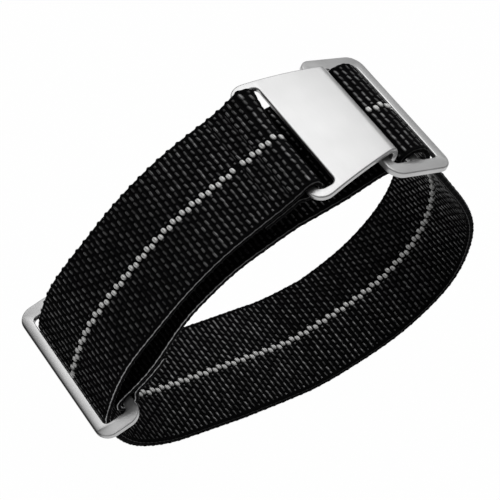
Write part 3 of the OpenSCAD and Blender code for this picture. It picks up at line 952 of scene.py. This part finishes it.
def hook():
    """The flat blank is cut to its outline, slotted, softened at its edges and then bent."""
    left = -HOOK_BAR / 2
    blank_len = HOOK_LEN - left + FOLD_RUN + LIP_LEN
    piece = slab(blank_len, HOOK_W, HOOK_T, "hook_plate")
    piece.data.transform(Matrix.Translation((left + blank_len / 2, 0, 0)))
    select_only(piece)
    slice_across([HOOK_LEN], (1, 0, 0))
    for vertex in piece.data.vertices:
        if vertex.co.x > HOOK_LEN - NEAR:
            vertex.co.y *= HOOK_FOLD_W / HOOK_W
    round_corners(piece, HOOK_CORNER_R, lambda x: x < left + NEAR)
    cut_window(piece, (HOOK_BAR + HOOK_SLOT) / 2, HOOK_SLOT, HOOK_SLOT_W, HOOK_SLOT_R)
    round_edges(piece, HOOK_EDGE)
    slice_across([*np.arange(left + PLATE_STEP, HOOK_LEN - PLATE_REST, PLATE_STEP),
                  *np.linspace(HOOK_LEN, HOOK_LEN + FOLD_RUN, FOLD_CUTS)], (1, 0, 0))
    for vertex in piece.data.vertices:
        x, z = bent(vertex.co.x, vertex.co.z)
        vertex.co = (x * MM, vertex.co.y * MM, z * MM)
    smooth_gently()
    finish_piece(piece, "hook", HOOK_STEEL, ["hook"])


hook()


# The floor, the light and the camera. The floor is in metres, and lies just below the strap.
FLOOR_SIZE = 6
FLOOR_DROP = 0.2 * MM
FLOOR_WHITE = 0.99
SKY_LOW = 0.05
SKY_HIGH = 0.52


def floor_and_sky():
    """A floor that the camera and the metal see as white paper, and a sky that is grey overhead and
    dark at the sides, and white behind the strap."""
    bpy.ops.object.select_all(action="DESELECT")
    bpy.ops.mesh.primitive_plane_add(size=FLOOR_SIZE, location=(0, 0, -FLOOR_DROP))
    floor = bpy.context.object
    floor.name = "floor"
    material, tree, shader = new_material("white_paper")
    shader.inputs["Base Color"].default_value = paint("#b0b0b0")
    shader.inputs["Roughness"].default_value = 0.9
    path = add_node(tree, "ShaderNodeLightPath")
    white = add_node(tree, "ShaderNodeEmission", in_Strength=1.0)
    seen = add_node(tree, "ShaderNodeMath",
                    [(0, path.outputs["Is Camera Ray"]), (1, path.outputs["Is Glossy Ray"])],
                    operation="MAXIMUM")
    share = add_node(tree, "ShaderNodeMath", [(0, seen.outputs[0])], operation="MULTIPLY",
                     in_1=FLOOR_WHITE)
    mixed = add_node(tree, "ShaderNodeMixShader", [(0, share.outputs[0]), (1, shader.outputs[0]),
                                                   (2, white.outputs[0])])
    output = next(n for n in tree.nodes if n.type == "OUTPUT_MATERIAL")
    tree.links.new(mixed.outputs[0], output.inputs["Surface"])
    floor.data.materials.append(material)

    world = bpy.data.worlds.new("studio")
    bpy.context.scene.world = world
    world.use_nodes = True
    tree = world.node_tree
    tree.nodes.clear()
    path = add_node(tree, "ShaderNodeLightPath")
    place = add_node(tree, "ShaderNodeTexCoord")
    axes = add_node(tree, "ShaderNodeSeparateXYZ", [("Vector", place.outputs["Generated"])])
    ceiling = add_node(tree, "ShaderNodeMapRange", [("Value", axes.outputs["Z"])],
                       in_1=0.0, in_2=1.0, in_3=SKY_LOW, in_4=SKY_HIGH)
    level = add_node(tree, "ShaderNodeMix",
                     [(0, path.outputs["Is Camera Ray"]), (2, ceiling.outputs[0])],
                     data_type="FLOAT", in_3=1.0)
    sky = add_node(tree, "ShaderNodeBackground", [("Strength", level.outputs[0])],
                   in_Color=(1, 1, 1, 1))
    add_node(tree, "ShaderNodeOutputWorld", [("Surface", sky.outputs[0])])


# All lamps stand this far, in metres, from a point in the middle of the strap.
LAMP_DISTANCE = 0.6
LAMP_AIM = Vector((0, 0, 0.03))


def soft_box(name, direction, size, level):
    """An area lamp that faces the strap; level is its brightness as white paper would show it."""
    data = bpy.data.lights.new(name, "AREA")
    data.size = size
    data.energy = level * math.pi * size * size
    lamp = bpy.data.objects.new(name, data)
    aim = Vector(direction).normalized()
    lamp.location = LAMP_AIM + aim * LAMP_DISTANCE
    lamp.rotation_euler = aim.to_track_quat("Z", "Y").to_euler()
    bpy.context.scene.collection.objects.link(lamp)


def photo_camera():
    """The camera as fitted to the photograph, on the ribs' pitch and the metal parts' edges: its
    lens in millimetres on a 36 mm sensor, its axes and its place."""
    camera = bpy.data.objects.new("camera", bpy.data.cameras.new("camera"))
    camera.data.lens = 135.6
    camera.data.sensor_width = 36
    right = Vector((0.8122, -0.5393, 0.2221)).normalized()
    up = Vector((0.2620, 0.6776, 0.6872)).normalized()
    place = Vector((-152.2, -144.0, 228.9)) * MM
    axes = Matrix((right, up, right.cross(up))).transposed()
    camera.matrix_world = Matrix.Translation(place) @ axes.to_4x4()
    camera.data.clip_start = 0.01
    bpy.context.scene.collection.objects.link(camera)
    bpy.context.scene.camera = camera
    bpy.context.scene.view_settings.view_transform = "Standard"


floor_and_sky()
soft_box("key", (0.12, 0.50, 0.86), 0.64, 1.6)
soft_box("side", (0.80, 0.45, 0.42), 0.3, 0.5)
soft_box("left", (-0.38, 0.47, 0.80), 0.44, 0.42)
photo_camera()
